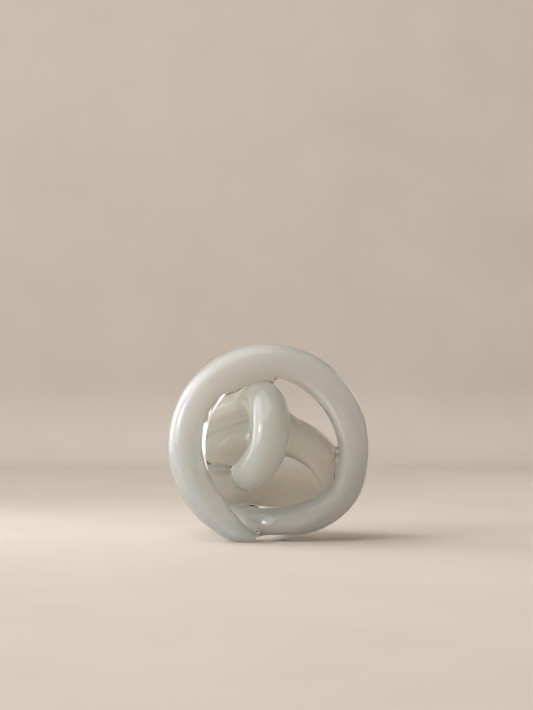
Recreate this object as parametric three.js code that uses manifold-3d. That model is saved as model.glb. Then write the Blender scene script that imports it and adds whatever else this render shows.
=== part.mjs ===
// A knot sculpture wound from one glass rod: a milky core inside a thick clear casing.
// The rod was looped over itself while hot, so its runs lean on one another, and the runs
// that meet the table are ground flat to stand on.
// Millimetres, +Z up. The viewer stands on the -Y side, and the origin is the middle of the base.

import * as THREE from "three";
import { mergeVertices } from "three/addons/utils/BufferGeometryUtils.js";
import Module from "manifold-3d";

const wasm = await Module();
wasm.setup();

// Driving dimensions
const CORE_SHARE = 0.62; // the core's radius, as a share of the rod's
const CLEARANCE = 0.3; // between core and casing, which are fused on the real piece
const SEAM = 0.016; // between one run and the next, in route points, which lie about 24 mm apart
const BORE_OVERRUN = 2; // how far a casing's bore is cut past its open ends
const TABLE_SIZE = 400; // of the block that grinds the base flat

// Fineness of the solids
const SECTION_SPACING = 11;
const CASING_SIDES = 16;
const CORE_SIDES = 10;
const TIP_SECTIONS = 4;
const TIP_ANGLE = THREE.MathUtils.degToRad(82); // how far round a tip's half ball is drawn

// Colours of the glass
const CLEAR_GLASS = 0xe4e8e2;
const MILK_GLASS = 0xe3ded2;

// The rod's route, from its drawn-out tail to its rounded tip, in five runs.
// Each point is [x, y, z, rod radius], and steers a smooth curve that passes close to it.
const LEFT_BOW = [
  [-9.5, -24, 3.4, 4.2],
  [-26, -24.5, 7, 9.6],
  [-42, -24.5, 20.5, 13.2],
  [-58, -24.5, 38, 15.4],
  [-69.5, -24.5, 60.5, 16.2],
  [-73.5, -24.5, 88, 16.8],
  [-69, -23.5, 113.5, 16.6],
  [-56.5, -22.5, 136, 16],
  [-37, -21.5, 153.5, 15.4],
  [-12, -20.5, 162.5, 15.2],
];
const RIGHT_BOW = [
  [14, -20, 162, 15.2],
  [38, -19, 152.5, 15.8],
  [57.5, -18, 135.5, 16.2],
  [71.8, -17, 113.8, 15.2],
  [78.6, -16, 88, 13.6],
  [77, -15.5, 61, 12.8],
  [70, -15, 40.5, 13.2],
  [48.5, -14.5, 24.5, 14.2],
  [26, -15, 17.5, 14.4],
  [5.5, -9.5, 13, 15.6],
];
const INNER_ARCH = [
  [-15, 7.5, 11.5, 16],
  [-36, 28.5, 18, 15.6],
  [-53, 43.5, 27, 15.4],
  [-69.5, 54.5, 44.5, 14.2],
  [-76.5, 54, 67.5, 13.4],
  [-61, 43, 82, 15.4],
  [-36, 20.5, 79.5, 20.8],
  [-9.5, -2.5, 92, 20.1],
  [16.5, -12, 97, 18.7],
  [37.6, -9, 86, 16.6],
  [54.4, 2.2, 71.4, 16.4],
  [61, 19, 53, 15.4],
];
const LOWER_LOOP = [
  [67.5, 41.5, 43, 12],
  [45.5, 55.8, 43.5, 15],
  [21, 45, 50.4, 25.8],
  [-2.5, 28.5, 47.8, 22.4],
  [-22.5, 12.5, 47.6, 14.7],
  [-42, 4.5, 45.6, 14.6],
  [-64.5, 8.5, 48.5, 13.2],
];
const FRONT_LOOP = [
  [-79, 15, 73, 13],
  [-78.5, 15.5, 97, 14],
  [-57, 12.5, 114.5, 17],
  [-31, 8, 124.2, 17.8],
  [-10.5, -8, 130.3, 16.1],
  [-0.5, -34, 126, 18.2],
  [4, -52, 104, 18.6],
  [0.2, -52, 81, 16.8],
  [-10.5, -42.5, 66, 16.4],
  [-21.8, -30, 58.6, 13.4],
];
const ROUTE = [...LEFT_BOW, ...RIGHT_BOW, ...INNER_ARCH, ...LOWER_LOOP, ...FRONT_LOOP];
const ROUTE_END = ROUTE.length - 1;

// Point and radius of the rod at a place counted in route points: a uniform cubic B-spline,
// which starts at the first point and ends at the last.
function rodAt(place) {
  const first = Math.min(Math.floor(place), ROUTE_END - 1);
  const t = place - first;
  const weights = [
    (1 - t) ** 3 / 6,
    (3 * t ** 3 - 6 * t ** 2 + 4) / 6,
    (-3 * t ** 3 + 3 * t ** 2 + 3 * t + 1) / 6,
    t ** 3 / 6,
  ];
  const sum = [0, 0, 0, 0];
  for (let k = 0; k < 4; k++) {
    const point = routePoint(first - 1 + k);
    for (let axis = 0; axis < 4; axis++) sum[axis] += weights[k] * point[axis];
  }
  return { centre: new THREE.Vector3(sum[0], sum[1], sum[2]), radius: sum[3] };
}

// A point of the route. Past an end, the mirror image of its neighbour holds the curve there.
function routePoint(index) {
  if (index < 0) return ROUTE[0].map((value, axis) => 2 * value - ROUTE[1][axis]);
  if (index > ROUTE_END) {
    return ROUTE[ROUTE_END].map((value, axis) => 2 * value - ROUTE[ROUTE_END - 1][axis]);
  }
  return ROUTE[index];
}

// One run of the rod, as a curve between two places of the route.
class RodRun extends THREE.Curve {
  constructor(name, from, to) {
    super();
    this.name = name;
    this.from = from;
    this.to = to;
  }

  getPoint(t, target = new THREE.Vector3()) {
    return target.copy(rodAt(THREE.MathUtils.lerp(this.from, this.to, t)).centre);
  }

  radiusAt(u) {
    const t = this.getUtoTmapping(u);
    return rodAt(THREE.MathUtils.lerp(this.from, this.to, t)).radius;
  }
}

// Cross-sections of a round bar that follows a run. radiusOf turns the rod's radius into the
// bar's. The rod's own ends are rounded, and at the others the bar goes on by the overrun.
function sectionsOf(run, radiusOf, overrun) {
  const steps = Math.ceil(run.getLength() / SECTION_SPACING);
  const frames = run.computeFrenetFrames(steps, false);
  const sections = [];
  for (let i = 0; i <= steps; i++) {
    sections.push({
      centre: run.getPointAt(i / steps),
      radius: radiusOf(run.radiusAt(i / steps)),
      along: frames.tangents[i],
      across: frames.normals[i],
      over: frames.binormals[i],
    });
  }
  const before = endSections(sections[0], run.from === 0, -1, overrun);
  const after = endSections(sections.at(-1), run.to === ROUTE_END, 1, overrun);
  return [...before.reverse(), ...sections, ...after];
}

// What follows a bar's end section, going outwards: the rings of a half ball on a rounded end,
// or one more section after an overrun. way is +1 where the rod leaves through that end.
function endSections(end, rounded, way, overrun) {
  const moved = (forward, radius) => ({
    ...end,
    centre: end.centre.clone().addScaledVector(end.along, way * forward),
    radius,
  });
  if (!rounded) return overrun > 0 ? [moved(overrun, end.radius)] : [];
  const rings = [];
  for (let k = 1; k <= TIP_SECTIONS; k++) {
    const angle = (k / TIP_SECTIONS) * TIP_ANGLE;
    rings.push(moved(end.radius * Math.sin(angle), end.radius * Math.cos(angle)));
  }
  return rings;
}

// A closed solid through a list of cross-sections, with its faces pointing out.
function barSolid(sections, sides) {
  const vertices = [];
  const triangles = [];
  const spoke = new THREE.Vector3();
  for (const section of sections) {
    for (let side = 0; side < sides; side++) {
      const turn = (side / sides) * 2 * Math.PI;
      spoke.copy(section.centre);
      spoke.addScaledVector(section.across, section.radius * Math.cos(turn));
      spoke.addScaledVector(section.over, section.radius * Math.sin(turn));
      vertices.push(spoke.x, spoke.y, spoke.z);
    }
  }
  const last = (sections.length - 1) * sides;
  const startHub = vertices.length / 3;
  const endHub = startHub + 1;
  vertices.push(...sections[0].centre.toArray(), ...sections.at(-1).centre.toArray());
  for (let side = 0; side < sides; side++) {
    const next = (side + 1) % sides;
    triangles.push(startHub, next, side);
    triangles.push(endHub, last + side, last + next);
    for (let base = 0; base < last; base += sides) {
      const ahead = base + sides;
      triangles.push(base + side, base + next, ahead + side);
      triangles.push(base + next, ahead + next, ahead + side);
    }
  }
  return solid(vertices, triangles);
}

function solid(vertices, triangles) {
  return new wasm.Manifold(
    new wasm.Mesh({
      numProp: 3,
      vertProperties: new Float32Array(vertices),
      triVerts: new Uint32Array(triangles),
    }),
  );
}

// The block below the table's surface, which takes the rod's underside off flat.
function grindingBlock() {
  const box = new THREE.BoxGeometry(TABLE_SIZE, TABLE_SIZE, TABLE_SIZE);
  box.translate(0, 0, -TABLE_SIZE / 2);
  box.deleteAttribute("normal");
  box.deleteAttribute("uv");
  const merged = mergeVertices(box);
  return solid(merged.attributes.position.array, merged.index.array);
}

function geometryOf(manifold) {
  const mesh = manifold.getMesh();
  const geometry = new THREE.BufferGeometry();
  geometry.setAttribute("position", new THREE.BufferAttribute(mesh.vertProperties, 3));
  geometry.setIndex(new THREE.BufferAttribute(mesh.triVerts, 1));
  geometry.computeVertexNormals();
  return geometry;
}

const table = grindingBlock();

// The clear casing of a run: the full rod, bored for the core and ground flat below.
function casingMesh(run) {
  const rod = barSolid(sectionsOf(run, (r) => r, 0), CASING_SIDES);
  const boreRadius = (r) => r * CORE_SHARE + CLEARANCE;
  const bore = barSolid(sectionsOf(run, boreRadius, BORE_OVERRUN), CORE_SIDES);
  const material = new THREE.MeshStandardMaterial({
    color: CLEAR_GLASS,
    roughness: 0.04,
    metalness: 0,
    transparent: true,
    opacity: 0.35,
  });
  const mesh = new THREE.Mesh(geometryOf(rod.subtract(bore).subtract(table)), material);
  mesh.name = `${run.name}_casing`;
  return mesh;
}

// The milky core of a run, which lies along the middle of its casing.
function coreMesh(run) {
  const core = barSolid(sectionsOf(run, (r) => r * CORE_SHARE, 0), CORE_SIDES);
  const material = new THREE.MeshStandardMaterial({
    color: MILK_GLASS,
    roughness: 0.35,
    metalness: 0,
  });
  const mesh = new THREE.Mesh(geometryOf(core), material);
  mesh.name = `${run.name}_core`;
  return mesh;
}

// The five runs. Each ends halfway between its last point and the first of the next.
function makeRuns() {
  const lists = [
    ["left_bow", LEFT_BOW],
    ["right_bow", RIGHT_BOW],
    ["inner_arch", INNER_ARCH],
    ["lower_loop", LOWER_LOOP],
    ["front_loop", FRONT_LOOP],
  ];
  let from = 0;
  let counted = 0;
  return lists.map(([name, points]) => {
    counted += points.length;
    const meeting = counted - 0.5;
    const run = new RodRun(name, from, Math.min(meeting - SEAM / 2, ROUTE_END));
    from = meeting + SEAM / 2;
    return run;
  });
}

const knot = new THREE.Group();
knot.name = "glass_knot";
for (const run of makeRuns()) {
  knot.add(casingMesh(run), coreMesh(run));
}

export default knot;
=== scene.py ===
"""Looks of the glass knot: a milky core in a clear casing, wound over itself and fused while hot."""

import math

import bmesh
import bpy
from bmesh.types import BMEdge, BMVert
from bpy.props import FloatProperty, FloatVectorProperty, IntProperty, PointerProperty
from bpy.types import Operator, Panel, PropertyGroup
from mathutils import Matrix, Vector
from mathutils.bvhtree import BVHTree


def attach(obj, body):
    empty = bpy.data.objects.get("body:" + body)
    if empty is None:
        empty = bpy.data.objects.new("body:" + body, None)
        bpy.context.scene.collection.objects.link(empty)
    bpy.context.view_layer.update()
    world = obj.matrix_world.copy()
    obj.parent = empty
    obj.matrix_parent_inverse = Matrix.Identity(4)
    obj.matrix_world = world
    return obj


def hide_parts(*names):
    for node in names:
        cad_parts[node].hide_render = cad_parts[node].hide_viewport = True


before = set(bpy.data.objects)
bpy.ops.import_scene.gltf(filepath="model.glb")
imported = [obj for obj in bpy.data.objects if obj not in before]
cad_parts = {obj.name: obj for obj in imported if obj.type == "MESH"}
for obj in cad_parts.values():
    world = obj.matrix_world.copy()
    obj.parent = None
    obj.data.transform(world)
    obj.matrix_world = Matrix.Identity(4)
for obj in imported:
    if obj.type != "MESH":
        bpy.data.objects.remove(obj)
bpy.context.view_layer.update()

bl_info = {
    "name": "Glass Knot",
    "version": (1, 0, 0),
    "blender": (4, 5, 0),
    "location": "3D View > Sidebar > Glass Knot",
    "description": "Winds a cased glass rod into a knot and sets it on a studio floor",
    "category": "Add Mesh",
}

MM = 0.001

# The rod's route, from its drawn-out tail to its rounded tip, in five runs. Lengths are in metres.
# Each point is (x, y, z, rod radius, core share, outset), and steers a smooth curve that passes near it.
# The share is the milky core's radius over the rod's. The outset is how far the core sits off the rod's
# middle, away from the middle of the ring.
LEFT_BOW = (
    (-0.0095, -0.0240, 0.0034, 0.0042, 0.60, 0.0),
    (-0.0260, -0.0245, 0.0070, 0.0096, 0.66, 0.0),
    (-0.0420, -0.0245, 0.0205, 0.0132, 0.68, 0.0),
    (-0.0580, -0.0245, 0.0380, 0.0154, 0.68, 0.0),
    (-0.0695, -0.0245, 0.0605, 0.0162, 0.64, 0.0007),
    (-0.0735, -0.0245, 0.0880, 0.0168, 0.60, 0.0016),
    (-0.0690, -0.0235, 0.1135, 0.0166, 0.60, 0.0014),
    (-0.0565, -0.0225, 0.1360, 0.0160, 0.61, 0.0010),
    (-0.0370, -0.0215, 0.1535, 0.0154, 0.68, 0.0),
    (-0.0120, -0.0205, 0.1625, 0.0152, 0.76, 0.0),
)
RIGHT_BOW = (
    (0.0140, -0.0200, 0.1620, 0.0152, 0.70, 0.0),
    (0.0380, -0.0190, 0.1525, 0.0158, 0.65, 0.0),
    (0.0575, -0.0180, 0.1355, 0.0162, 0.64, 0.0),
    (0.0718, -0.0170, 0.1138, 0.0152, 0.63, 0.0003),
    (0.0786, -0.0160, 0.0880, 0.0136, 0.66, 0.0),
    (0.0770, -0.0155, 0.0610, 0.0128, 0.70, 0.0),
    (0.0700, -0.0150, 0.0405, 0.0132, 0.70, 0.0),
    (0.0485, -0.0145, 0.0245, 0.0142, 0.68, 0.0),
    (0.0260, -0.0150, 0.0175, 0.0144, 0.66, -0.0005),
    (0.0055, -0.0095, 0.0130, 0.0156, 0.56, -0.0040),
)
INNER_ARCH = (
    (-0.0150, 0.0075, 0.0115, 0.0160, 0.58, -0.0040),
    (-0.0360, 0.0285, 0.0180, 0.0156, 0.64, -0.0010),
    (-0.0530, 0.0435, 0.0270, 0.0154, 0.66, 0.0),
    (-0.0695, 0.0545, 0.0445, 0.0142, 0.66, 0.0),
    (-0.0765, 0.0540, 0.0675, 0.0134, 0.66, 0.0),
    (-0.0610, 0.0430, 0.0820, 0.0154, 0.74, 0.0),
    (-0.0360, 0.0205, 0.0795, 0.0208, 0.80, 0.0),
    (-0.0095, -0.0025, 0.0920, 0.0201, 0.76, 0.0),
    (0.0165, -0.0120, 0.0970, 0.0187, 0.66, 0.0),
    (0.0376, -0.0090, 0.0860, 0.0166, 0.62, 0.0),
    (0.0544, 0.0022, 0.0714, 0.0164, 0.62, 0.0),
    (0.0610, 0.0190, 0.0530, 0.0154, 0.62, 0.0),
)
LOWER_LOOP = (
    (0.0675, 0.0415, 0.0430, 0.0120, 0.62, 0.0),
    (0.0455, 0.0558, 0.0435, 0.0150, 0.64, 0.0),
    (0.0210, 0.0450, 0.0504, 0.0258, 0.66, 0.0),
    (-0.0025, 0.0285, 0.0478, 0.0224, 0.66, 0.0),
    (-0.0225, 0.0125, 0.0476, 0.0147, 0.76, 0.0),
    (-0.0420, 0.0045, 0.0456, 0.0146, 0.76, 0.0),
    (-0.0645, 0.0085, 0.0485, 0.0132, 0.70, 0.0),
)
FRONT_LOOP = (
    (-0.0790, 0.0150, 0.0730, 0.0130, 0.66, 0.0),
    (-0.0785, 0.0155, 0.0970, 0.0140, 0.62, 0.0),
    (-0.0570, 0.0125, 0.1145, 0.0170, 0.40, -0.0060),
    (-0.0310, 0.0080, 0.1242, 0.0178, 0.34, -0.0075),
    (-0.0105, -0.0080, 0.1303, 0.0161, 0.62, -0.0015),
    (-0.0005, -0.0340, 0.1260, 0.0182, 0.74, 0.0),
    (0.0040, -0.0520, 0.1040, 0.0186, 0.63, 0.0),
    (0.0002, -0.0520, 0.0810, 0.0168, 0.66, 0.0),
    (-0.0105, -0.0425, 0.0660, 0.0164, 0.65, 0.0),
    (-0.0218, -0.0300, 0.0586, 0.0134, 0.60, 0.0),
)
RUNS = ("left_bow", "right_bow", "inner_arch", "lower_loop", "front_loop")
ROUTE = (*LEFT_BOW, *RIGHT_BOW, *INNER_ARCH, *LOWER_LOOP, *FRONT_LOOP)
RING_MIDDLE = Vector((0.0, 0.0, 0.088))

# Glass that ran into the seams, each a short bar along points (x, y, z, radius).
RING_TO_FRONT_LOOP = (
    (-0.0385, -0.0110, 0.1347, 0.0035),
    (-0.0260, -0.0155, 0.1410, 0.0065),
    (-0.0140, -0.0195, 0.1450, 0.0075),
    (-0.0020, -0.0225, 0.1455, 0.0070),
    (0.0050, -0.0230, 0.1450, 0.0050),
)
FRONT_LOOP_TO_ARM = (
    (0.0120, -0.0310, 0.1130, 0.0060),
    (0.0170, -0.0255, 0.1110, 0.0075),
    (0.0235, -0.0190, 0.1050, 0.0065),
    (0.0300, -0.0140, 0.0985, 0.0040),
)
ARM_TO_RING = (
    (0.0634, -0.0100, 0.0790, 0.0036),
    (0.0650, -0.0087, 0.0740, 0.0040),
    (0.0661, -0.0072, 0.0694, 0.0042),
    (0.0668, -0.0055, 0.0646, 0.0042),
    (0.0671, -0.0034, 0.0596, 0.0040),
    (0.0669, -0.0011, 0.0548, 0.0036),
)
ARCH_TO_FRONT_LOOP = (
    (-0.0560, 0.0205, 0.0950, 0.0045),
    (-0.0445, 0.0155, 0.1000, 0.0045),
    (-0.0300, 0.0085, 0.1055, 0.0045),
    (-0.0160, -0.0005, 0.1105, 0.0045),
    (-0.0030, -0.0125, 0.1120, 0.0045),
)
LOWER_LOOP_TO_FOOT = (
    (-0.0400, 0.0165, 0.0325, 0.0024),
    (-0.0344, 0.0152, 0.0320, 0.0024),
    (-0.0244, 0.0164, 0.0311, 0.0024),
    (-0.0162, 0.0202, 0.0300, 0.0024),
    (-0.0100, 0.0230, 0.0295, 0.0024),
)
ARCH_TO_LOWER_LOOP = (
    (-0.0560, 0.0170, 0.0620, 0.0065),
    (-0.0450, 0.0160, 0.0620, 0.0065),
    (-0.0340, 0.0150, 0.0625, 0.0055),
)
SEAMS = (
    RING_TO_FRONT_LOOP,
    FRONT_LOOP_TO_ARM,
    ARM_TO_RING,
    ARCH_TO_FRONT_LOOP,
    ARCH_TO_LOWER_LOOP,
    LOWER_LOOP_TO_FOOT,
)

# The point that the lamps face, and the colours of the light
LAMP_AIM = Vector((0.0, 0.0, 0.09))
DAYLIGHT = (0.93, 0.96, 1.0)
LAMPLIGHT = (1.0, 0.95, 0.88)
SKYLIGHT = (1.0, 0.92, 0.82)
SKY_STRENGTH = 0.34


class RodSizes(PropertyGroup):
    """Sizes of the cased rod."""

    core_fullness: FloatProperty(
        name="Core fullness",
        description="Scales the milky core's radius all along the rod",
        default=1.0,
        subtype="FACTOR",
    )
    rings: IntProperty(
        name="Rings",
        description="Rings of the mesh between one steering point and the next",
        default=12,
    )
    sides: IntProperty(
        name="Sides",
        description="Sides of the rod's mesh, an even number",
        default=72,
    )
    tip_rings: IntProperty(
        name="Tip rings",
        description="Rings of the mesh on each rounded end",
        default=10,
    )
    seam_reach: FloatProperty(
        name="Seam reach",
        description="Half the gap that hot glass closes where two runs lean on each other",
        default=1.0 * MM,
        unit="LENGTH",
    )
    seam_steps: IntProperty(
        name="Seam steps",
        description="How long the fused seams are let run smooth",
        default=24,
    )
    seam_depth: FloatProperty(
        name="Seam depth",
        description="Skin that lies further off the rod than this belongs to a seam",
        default=0.5 * MM,
        unit="LENGTH",
    )
    seam_rings: IntProperty(
        name="Seam rings",
        description="Rings of the mesh beside a seam that run smooth with it",
        default=3,
    )
    seam_milk: FloatProperty(
        name="Seam milk",
        description="How much of the glass in the seams is milky, as a share of its radius",
        default=0.62,
        subtype="FACTOR",
    )
    grain: FloatProperty(
        name="Surface grain",
        description="Size of the faces of the fused meshes",
        default=1.36 * MM,
        unit="LENGTH",
    )


class GlassColours(PropertyGroup):
    """Colours of the two glasses."""

    clear_tint: FloatVectorProperty(
        name="Clear tint",
        description="Colour that white light takes after a long way through the clear glass",
        default=(0.80, 0.88, 0.82),
        subtype="COLOR",
    )
    clear_depth: FloatProperty(
        name="Clear depth",
        description="How strongly the clear glass tints, per metre",
        default=4.0,
    )
    # The cool milk is the core's own colour. The warm milk is the colour of its streaks and clouding, and
    # it is also painted shade, laid warmer and darker on the ring's inside where the inner runs lie in
    # shade.
    milk_cool: FloatVectorProperty(
        name="Cool milk",
        description="Colour of the milky core where it is dense",
        default=(0.97, 0.96, 0.94),
        subtype="COLOR",
    )
    milk_streaks_and_painted_shade: FloatVectorProperty(
        name="Warm milk",
        description="Colour of the milky core where it is thin",
        default=(0.95, 0.90, 0.80),
        subtype="COLOR",
    )
    milk_reach: FloatProperty(
        name="Milk reach",
        description="How far light spreads in the milky core",
        default=70 * MM,
        unit="LENGTH",
    )


class StageSizes(PropertyGroup):
    """Places and colours of the studio stage."""

    floor_colour: FloatVectorProperty(
        name="Floor colour",
        description="Colour of the floor and of the backdrop",
        default=(0.60, 0.54, 0.48),
        subtype="COLOR",
    )
    backdrop_distance: FloatProperty(
        name="Backdrop distance",
        description="How far behind the knot the floor turns up",
        default=1.16,
        unit="LENGTH",
    )
    eye_distance: FloatProperty(
        name="Eye distance",
        description="How far in front of the knot the camera stands",
        default=1.6135,
        unit="LENGTH",
    )
    eye_height: FloatProperty(
        name="Eye height",
        description="Height of the level camera above the table",
        default=0.167,
        unit="LENGTH",
    )
    eye_aside: FloatProperty(
        name="Eye aside",
        description="How far to the right of the knot's middle the camera stands",
        default=-0.6 * MM,
        unit="LENGTH",
    )
    lens: FloatProperty(
        name="Lens",
        description="Focal length in millimetres, on a sensor 36 mm high",
        default=90.15,
    )


class Wire:
    """A shader socket in a sum: each operator adds the Math node that works it out."""

    def __init__(self, graph, socket):
        self.graph = graph
        self.socket = socket

    def math(self, operation, first, second):
        return self.graph.add("ShaderNodeMath", {"operation": operation}, {0: first, 1: second})

    def __add__(self, other):
        return self.math("ADD", self, other)

    def __radd__(self, other):
        return self.math("ADD", other, self)

    def __sub__(self, other):
        return self.math("SUBTRACT", self, other)

    def __rsub__(self, other):
        return self.math("SUBTRACT", other, self)

    def __mul__(self, other):
        return self.math("MULTIPLY", self, other)

    def __rmul__(self, other):
        return self.math("MULTIPLY", other, self)


class Graph:
    """The node tree of one material or of the world."""

    def __init__(self, tree):
        self.tree = tree
        tree.nodes.clear()

    def add(self, kind, settings=None, inputs=None, output=0):
        """Adds a node, sets it up, feeds its sockets and gives one of its outputs as a Wire."""
        node = self.tree.nodes.new(kind)
        for name, value in (settings or {}).items():
            setattr(node, name, value)
        for name, value in (inputs or {}).items():
            if isinstance(value, Wire):
                self.tree.links.new(value.socket, node.inputs[name])
            else:
                node.inputs[name].default_value = value
        if not node.outputs:
            return None
        return Wire(self, node.outputs[output])

    def axes(self, vector):
        """The x, y and z of a vector, as three Wires."""
        x = self.add("ShaderNodeSeparateXYZ", {}, {"Vector": vector})
        return [Wire(self, socket) for socket in x.socket.node.outputs]

    def between(self, share, first, second):
        """A colour between two others. A Mix node names its sockets alike, so they go by number."""
        sockets = {0: share, 6: (*first, 1.0), 7: (*second, 1.0)}
        return self.add("ShaderNodeMix", {"data_type": "RGBA"}, sockets, output=2)


def new_material(name):
    """A fresh material and its empty node tree."""
    material = bpy.data.materials.new(name)
    material.use_nodes = True
    return material, Graph(material.node_tree)


def clear_glass():
    """Clear casing glass, fire polished: smooth, with the faint swell of a surface shaped hot."""
    colours = bpy.context.scene.glass_colours
    material, graph = new_material("clear_glass")
    place = graph.add("ShaderNodeTexCoord", output="Object")
    swell = graph.add("ShaderNodeTexNoise", {}, {"Vector": place, "Scale": 45.0, "Detail": 1.0})
    polish = graph.add(
        "ShaderNodeBump", {}, {"Height": swell, "Strength": 0.12, "Distance": 0.4 * MM}
    )
    glass = graph.add(
        "ShaderNodeBsdfPrincipled",
        {},
        {
            "Base Color": (1.0, 1.0, 1.0, 1.0),
            "Roughness": 0.012,
            "IOR": 1.5,
            "Transmission Weight": 1.0,
            "Normal": polish,
        },
    )
    depth = graph.add(
        "ShaderNodeVolumeAbsorption",
        {},
        {"Color": (*colours.clear_tint, 1.0), "Density": colours.clear_depth},
    )
    graph.add("ShaderNodeOutputMaterial", {}, {"Surface": glass, "Volume": depth})
    return material


def milk_glass():
    """Milky core glass: light sinks in and spreads, streaks follow the ring, and painted shade makes it
    warmer and darker on the ring's inside.
    """
    colours = bpy.context.scene.glass_colours
    # Painted shade: closer to the ring's axis than the first distance, the core is painted warmer and
    # darker. It is fully so within the second distance, where the inner runs lie in shade.
    unshaded_from = 84 * MM
    painted_shade_within = 60 * MM
    material, graph = new_material("milk_glass")
    place = graph.add("ShaderNodeTexCoord", output="Object")
    x, y, z = graph.axes(place)
    spoke = graph.add("ShaderNodeCombineXYZ", {}, {"X": x, "Z": z - RING_MIDDLE.z})
    away = graph.add("ShaderNodeVectorMath", {"operation": "LENGTH"}, {0: spoke}, output="Value")
    # Painted shade mask: 1 near the ring's middle, falling to 0 out at the ring's own run
    inside = graph.add(
        "ShaderNodeMapRange",
        {},
        {"Value": away, "From Min": unshaded_from, "From Max": painted_shade_within, "To Min": 0.0, "To Max": 1.0},
    )
    # Many streaks to a metre outwards and to the back, and few upwards, so that each runs tall
    outwards, backwards, upwards = 180.0, 120.0, 9.0
    along = graph.add(
        "ShaderNodeCombineXYZ", {}, {"X": away * outwards, "Y": y * backwards, "Z": z * upwards}
    )
    streak = graph.add("ShaderNodeTexNoise", {}, {"Vector": along, "Scale": 1.0, "Detail": 3.0})
    cloud = graph.add("ShaderNodeTexNoise", {}, {"Vector": place, "Scale": 22.0, "Detail": 3.0})
    # Share of the warm colour: real streaks and clouding in the milk, plus the painted shade of the ring's
    # inside
    streaks_and_painted_shade = inside * 0.6 + streak * 0.5 + cloud * 0.3 - 0.2
    milk = graph.add(
        "ShaderNodeBsdfPrincipled",
        {"subsurface_method": "RANDOM_WALK"},
        {
            "Base Color": graph.between(streaks_and_painted_shade, colours.milk_cool, colours.milk_streaks_and_painted_shade),
            "Roughness": 0.75,
            "IOR": 1.15,
            "Specular IOR Level": 0.0,
            "Transmission Weight": 0.5,
            "Subsurface Weight": 1.0,
            "Subsurface Radius": (1.0, 0.72, 0.55),
            "Subsurface Scale": colours.milk_reach,
        },
    )
    graph.add("ShaderNodeOutputMaterial", {}, {"Surface": milk})
    return material


def stage_paint():
    """Plain pale paint of the floor and backdrop, with a faint mottle."""
    colour = bpy.context.scene.stage_sizes.floor_colour
    material, graph = new_material("stage_paint")
    place = graph.add("ShaderNodeTexCoord", output="Object")
    mottle = graph.add("ShaderNodeTexNoise", {}, {"Vector": place, "Scale": 9.0, "Detail": 5.0})
    darker = [0.94 * channel for channel in colour]
    lighter = [1.06 * channel for channel in colour]
    paint = graph.add(
        "ShaderNodeBsdfPrincipled",
        {},
        {
            "Base Color": graph.between(mottle, darker, lighter),
            "Roughness": 0.75,
            "Specular IOR Level": 0.2,
        },
    )
    graph.add("ShaderNodeOutputMaterial", {}, {"Surface": paint})
    return material


def link(name, data):
    """A new object in the scene, at the origin."""
    piece = bpy.data.objects.new(name, data)
    bpy.context.scene.collection.objects.link(piece)
    return piece


def finished_mesh(holder):
    """The mesh of an object with its modifiers or curve settings worked out. The holder goes."""
    depsgraph = bpy.context.evaluated_depsgraph_get()
    mesh = bpy.data.meshes.new_from_object(holder.evaluated_get(depsgraph))
    bpy.data.objects.remove(holder)
    return mesh


def mirrored(point, centre):
    """The mirror image of a steering point about another one."""
    return tuple(2 * c - p for p, c in zip(point, centre))


def round_bar(name, points, sizes):
    """A closed bar of round glass along steering points, with a half ball on each end, as a mesh."""
    curve = bpy.data.curves.new(name, "CURVE")
    curve.dimensions = "3D"
    curve.bevel_depth = 1.0
    # A round bevel of resolution n has 2 n + 4 sides
    curve.bevel_resolution = sizes.sides // 2 - 2
    curve.resolution_u = sizes.rings
    curve.use_fill_caps = True
    spline = curve.splines.new("NURBS")
    steering = [mirrored(points[1], points[0]), *points, mirrored(points[-2], points[-1])]
    spline.points.add(len(steering) - 1)
    for handle, (x, y, z, radius) in zip(spline.points, steering):
        handle.co = (x, y, z, 1.0)
        handle.radius = radius
    spline.order_u = 4
    mesh = finished_mesh(link(name, curve))
    bpy.data.curves.remove(curve)
    bar = bmesh.new()
    bar.from_mesh(mesh)
    bmesh.ops.remove_doubles(bar, verts=bar.verts, dist=0.001 * MM)
    bmesh.ops.recalc_face_normals(bar, faces=bar.faces)
    for cap in [face for face in bar.faces if len(face.verts) > 4]:
        round_tip(bar, cap, sizes.tip_rings)
    for face in bar.faces:
        face.smooth = True
    bar.to_mesh(mesh)
    bar.free()
    return mesh


def round_tip(bar, cap, rings):
    """Grows a half ball on a bar's flat end, all but its last few degrees, which stay flat."""
    middle = cap.calc_center_median()
    radius = max((vert.co - middle).length for vert in cap.verts)
    outward = cap.normal.copy()
    sweep = math.radians(86)
    for ring in range(1, rings + 1):
        angle = sweep * ring / rings
        before = sweep * (ring - 1) / rings
        shrink = math.cos(angle) / math.cos(before)
        step = radius * (math.sin(angle) - math.sin(before))
        cap = bmesh.ops.extrude_discrete_faces(bar, faces=[cap])["faces"][0]
        about_centre = Matrix.Translation(-cap.calc_center_median())
        bmesh.ops.scale(bar, verts=cap.verts, vec=(shrink, shrink, shrink), space=about_centre)
        bmesh.ops.translate(bar, verts=cap.verts, vec=outward * step)


def seam_bars(share, sizes):
    """The glass in the seams, at a share of its full thickness."""
    bars = []
    for seam in SEAMS:
        points = [(x, y, z, radius * share) for x, y, z, radius in seam]
        bars.append(round_bar("seam", points, sizes))
    return bars


def joined(meshes):
    """One mesh that holds the faces of several."""
    body = bmesh.new()
    for mesh in meshes:
        body.from_mesh(mesh)
    whole = bpy.data.meshes.new("joined")
    body.to_mesh(whole)
    body.free()
    return whole


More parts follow.
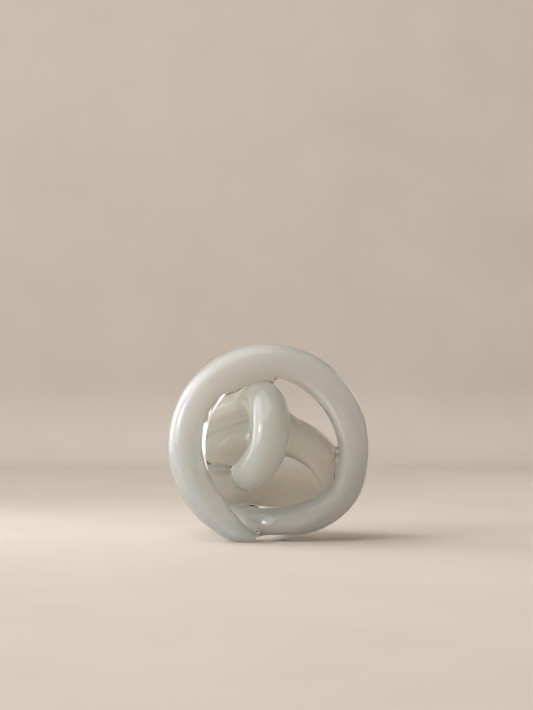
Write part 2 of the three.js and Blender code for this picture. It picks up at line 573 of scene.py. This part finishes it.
def fused(name, rod, bars, sizes):
    """A rod's skin with its seams run together: swollen, joined, shrunk back and smoothed. The bars go."""
    whole = joined([rod, *bars])
    holder = link(name, whole)
    swell = holder.modifiers.new("swell", "DISPLACE")
    swell.mid_level = 0.0
    swell.strength = sizes.seam_reach
    join = holder.modifiers.new("join", "REMESH")
    join.mode = "VOXEL"
    join.voxel_size = sizes.grain
    join.use_smooth_shade = True
    shrink = holder.modifiers.new("shrink", "DISPLACE")
    shrink.mid_level = 0.0
    shrink.strength = -sizes.seam_reach
    skin = finished_mesh(holder)
    settle(skin, rod, sizes)
    for used in (whole, rod, *bars):
        bpy.data.meshes.remove(used)
    return skin


def settle(skin, rod, sizes):
    """Lays a skin back on its rod, all but the seams, which are let run smooth."""
    rod_tree = BVHTree.FromPolygons([v.co for v in rod.vertices], [p.vertices for p in rod.polygons])
    body = bmesh.new()
    body.from_mesh(skin)
    loose = set()
    for vert in body.verts:
        place, normal, index, distance = rod_tree.find_nearest(vert.co)
        if distance < sizes.seam_depth:
            vert.co = place
        else:
            loose.add(vert)
    for ring in range(sizes.seam_rings):
        loose |= {edge.other_vert(vert) for vert in loose for edge in vert.link_edges}
    for step in range(sizes.seam_steps):
        bmesh.ops.smooth_vert(
            body, verts=list(loose), factor=0.5, use_axis_x=True, use_axis_y=True, use_axis_z=True
        )
    body.to_mesh(skin)
    body.free()


def ground_flat(mesh):
    """Cuts a mesh flat at table height and closes the cut."""
    body = bmesh.new()
    body.from_mesh(mesh)
    everything = [*body.verts, *body.edges, *body.faces]
    bmesh.ops.bisect_plane(
        body, geom=everything, plane_co=(0, 0, 0), plane_no=(0, 0, 1), clear_inner=True
    )
    rims = [edge for edge in body.edges if edge.is_boundary]
    facets = bmesh.ops.holes_fill(body, edges=rims, sides=0)["faces"]
    for edge in rims:
        edge.smooth = False
    for face in facets:
        face.smooth = False
    bmesh.ops.recalc_face_normals(body, faces=body.faces)
    body.to_mesh(mesh)
    body.free()


def core_point(x, y, z, radius, share, outset, sizes):
    """The core's steering point that goes with one of the rod's."""
    outward = Vector((x, 0.0, z)) - RING_MIDDLE
    middle = Vector((x, y, z)) + outset * outward.normalized()
    return (*middle, radius * share * sizes.core_fullness)


def set_piece(piece, material, layer):
    """Gives a piece its glass and the nodes that it stands for."""
    piece.data.materials.clear()
    piece.data.materials.append(material)
    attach(piece, "root")
    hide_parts(*(f"{run}_{layer}" for run in RUNS))


class KNOT_OT_clear_casing(Operator):
    """Winds the clear casing, fuses it where its runs touch and grinds its lowest runs flat"""

    bl_idname = "glass_knot.clear_casing"
    bl_label = "Clear casing"

    def execute(self, context):
        sizes = context.scene.rod_sizes
        points = [(x, y, z, radius) for x, y, z, radius, share, outset in ROUTE]
        rod = round_bar("rod", points, sizes)
        casing = fused("clear_casing", rod, seam_bars(1.0, sizes), sizes)
        ground_flat(casing)
        set_piece(link("clear_casing", casing), clear_glass(), "casing")
        return {"FINISHED"}


class KNOT_OT_milk_core(Operator):
    """Lays the milky core along the inside of the casing"""

    bl_idname = "glass_knot.milk_core"
    bl_label = "Milky core"

    def execute(self, context):
        sizes = context.scene.rod_sizes
        points = [core_point(*point, sizes) for point in ROUTE]
        rod = round_bar("rod", points, sizes)
        core = fused("milk_core", rod, seam_bars(sizes.seam_milk, sizes), sizes)
        set_piece(link("milk_core", core), milk_glass(), "core")
        return {"FINISHED"}


def only(kind, geometry):
    """The parts of one kind among those that an operator made."""
    return [part for part in geometry if isinstance(part, kind)]


def pull_out(sheet, edges, way):
    """Pulls edges of a sheet out into new faces, and gives the far corners and edges."""
    grown = bmesh.ops.extrude_edge_only(sheet, edges=edges)["geom"]
    corners = only(BMVert, grown)
    bmesh.ops.translate(sheet, verts=corners, vec=way)
    return [*corners, *only(BMEdge, grown)]


def hang(name, lamp, colour, place):
    """Puts a lamp in its place, facing the middle of the knot."""
    lamp.color = colour
    holder = link(name, lamp)
    holder.location = place
    holder.rotation_euler = (LAMP_AIM - holder.location).to_track_quat("-Z", "Y").to_euler()


def softbox(name, colour, place, width, height, watts, spread):
    """A rectangular studio lamp, whose light spreads by so many degrees."""
    lamp = bpy.data.lights.new(name, "AREA")
    lamp.shape = "RECTANGLE"
    lamp.size = width
    lamp.size_y = height
    lamp.energy = watts
    lamp.spread = math.radians(spread)
    hang(name, lamp, colour, place)


def far_light(name, colour, place, strength, width):
    """Light from so far off that it falls evenly on the floor. Its width is in degrees of the sky."""
    lamp = bpy.data.lights.new(name, "SUN")
    lamp.energy = strength
    lamp.angle = math.radians(width)
    hang(name, lamp, colour, place)


class KNOT_OT_stage(Operator):
    """Lays the floor and backdrop, hangs the lamps and sets the camera"""

    bl_idname = "glass_knot.stage"
    bl_label = "Studio stage"

    def lay_floor(self, stage):
        """A floor that turns up into a backdrop through a quarter round."""
        half_width = 3.0
        front = -2.6
        bend = 0.12
        bend_steps = 16
        rise = 2.4
        gap = 0.2 * MM
        reach = stage.backdrop_distance - bend - front
        sheet = bmesh.new()
        left = sheet.verts.new((-half_width, front, -gap))
        right = sheet.verts.new((half_width, front, -gap))
        front_edge = sheet.edges.new((left, right))
        floor_end = pull_out(sheet, [front_edge], (0, reach, 0))
        bend_end = bmesh.ops.spin(
            sheet,
            geom=floor_end,
            cent=(0, front + reach, bend - gap),
            axis=(1, 0, 0),
            angle=math.radians(90),
            steps=bend_steps,
        )["geom_last"]
        pull_out(sheet, only(BMEdge, bend_end), (0, 0, rise))
        for face in sheet.faces:
            face.smooth = True
        bmesh.ops.recalc_face_normals(sheet, faces=sheet.faces)
        mesh = bpy.data.meshes.new("studio_floor")
        sheet.to_mesh(mesh)
        sheet.free()
        mesh.materials.append(stage_paint())
        link("studio_floor", mesh)

    def hang_lamps(self):
        """Cool light from the left, a warm softbox overhead and a small one behind right."""
        softbox(
            "left_softbox", DAYLIGHT, (-0.567, 0.195, 0.26), width=0.367, height=0.53, watts=0.75, spread=90
        )
        far_light("left_fill", DAYLIGHT, (-1.4, -0.1, 0.45), strength=3.5, width=80)
        far_light("left_window", DAYLIGHT, (-0.857, -0.41, 0.39), strength=0.7, width=15)
        softbox(
            "top_softbox", LAMPLIGHT, (-0.6, -0.4, 1.4), width=1.6, height=1.6, watts=14.0, spread=180
        )
        softbox(
            "right_rim", LAMPLIGHT, (0.52, 0.74, 0.37), width=0.2, height=0.32, watts=0.35, spread=180
        )

    def light_sky(self, scene):
        """A dim warm glow from all round."""
        world = bpy.data.worlds.new("studio")
        world.use_nodes = True
        graph = Graph(world.node_tree)
        glow = graph.add(
            "ShaderNodeBackground", {}, {"Color": (*SKYLIGHT, 1.0), "Strength": SKY_STRENGTH}
        )
        graph.add("ShaderNodeOutputWorld", {}, {"Surface": glow})
        scene.world = world

    def set_camera(self, scene, stage):
        """A level camera in front of the knot, as far off and as high as the photographer's."""
        eye = bpy.data.cameras.new("camera")
        eye.sensor_fit = "VERTICAL"
        eye.sensor_height = 36.0
        eye.lens = stage.lens
        camera = link("camera", eye)
        camera.location = (stage.eye_aside, -stage.eye_distance, stage.eye_height)
        camera.rotation_euler = (math.radians(90), 0, 0)
        scene.camera = camera

    def execute(self, context):
        scene = context.scene
        self.lay_floor(scene.stage_sizes)
        self.hang_lamps()
        self.light_sky(scene)
        self.set_camera(scene, scene.stage_sizes)
        scene.view_settings.view_transform = "Standard"
        return {"FINISHED"}


class KNOT_PT_sidebar(Panel):
    """Steps and settings of the glass knot"""

    bl_idname = "KNOT_PT_sidebar"
    bl_label = "Glass Knot"
    bl_space_type = "VIEW_3D"
    bl_region_type = "UI"
    bl_category = "Glass Knot"

    def draw(self, context):
        for step in STEPS:
            self.layout.operator(step.bl_idname)
        for group in GROUPS:
            box = self.layout.box()
            settings = getattr(context.scene, group)
            for name in settings.__annotations__:
                box.prop(settings, name)


STEPS = (KNOT_OT_clear_casing, KNOT_OT_milk_core, KNOT_OT_stage)
GROUPS = {"rod_sizes": RodSizes, "glass_colours": GlassColours, "stage_sizes": StageSizes}
CLASSES = (*GROUPS.values(), *STEPS, KNOT_PT_sidebar)


def register():
    for cls in CLASSES:
        bpy.utils.register_class(cls)
    for name, group in GROUPS.items():
        setattr(bpy.types.Scene, name, PointerProperty(type=group))


def unregister():
    for name in GROUPS:
        delattr(bpy.types.Scene, name)
    for cls in reversed(CLASSES):
        bpy.utils.unregister_class(cls)


def main():
    register()
    bpy.ops.glass_knot.clear_casing()
    bpy.ops.glass_knot.milk_core()
    bpy.ops.glass_knot.stage()


if __name__ == "__main__":
    main()
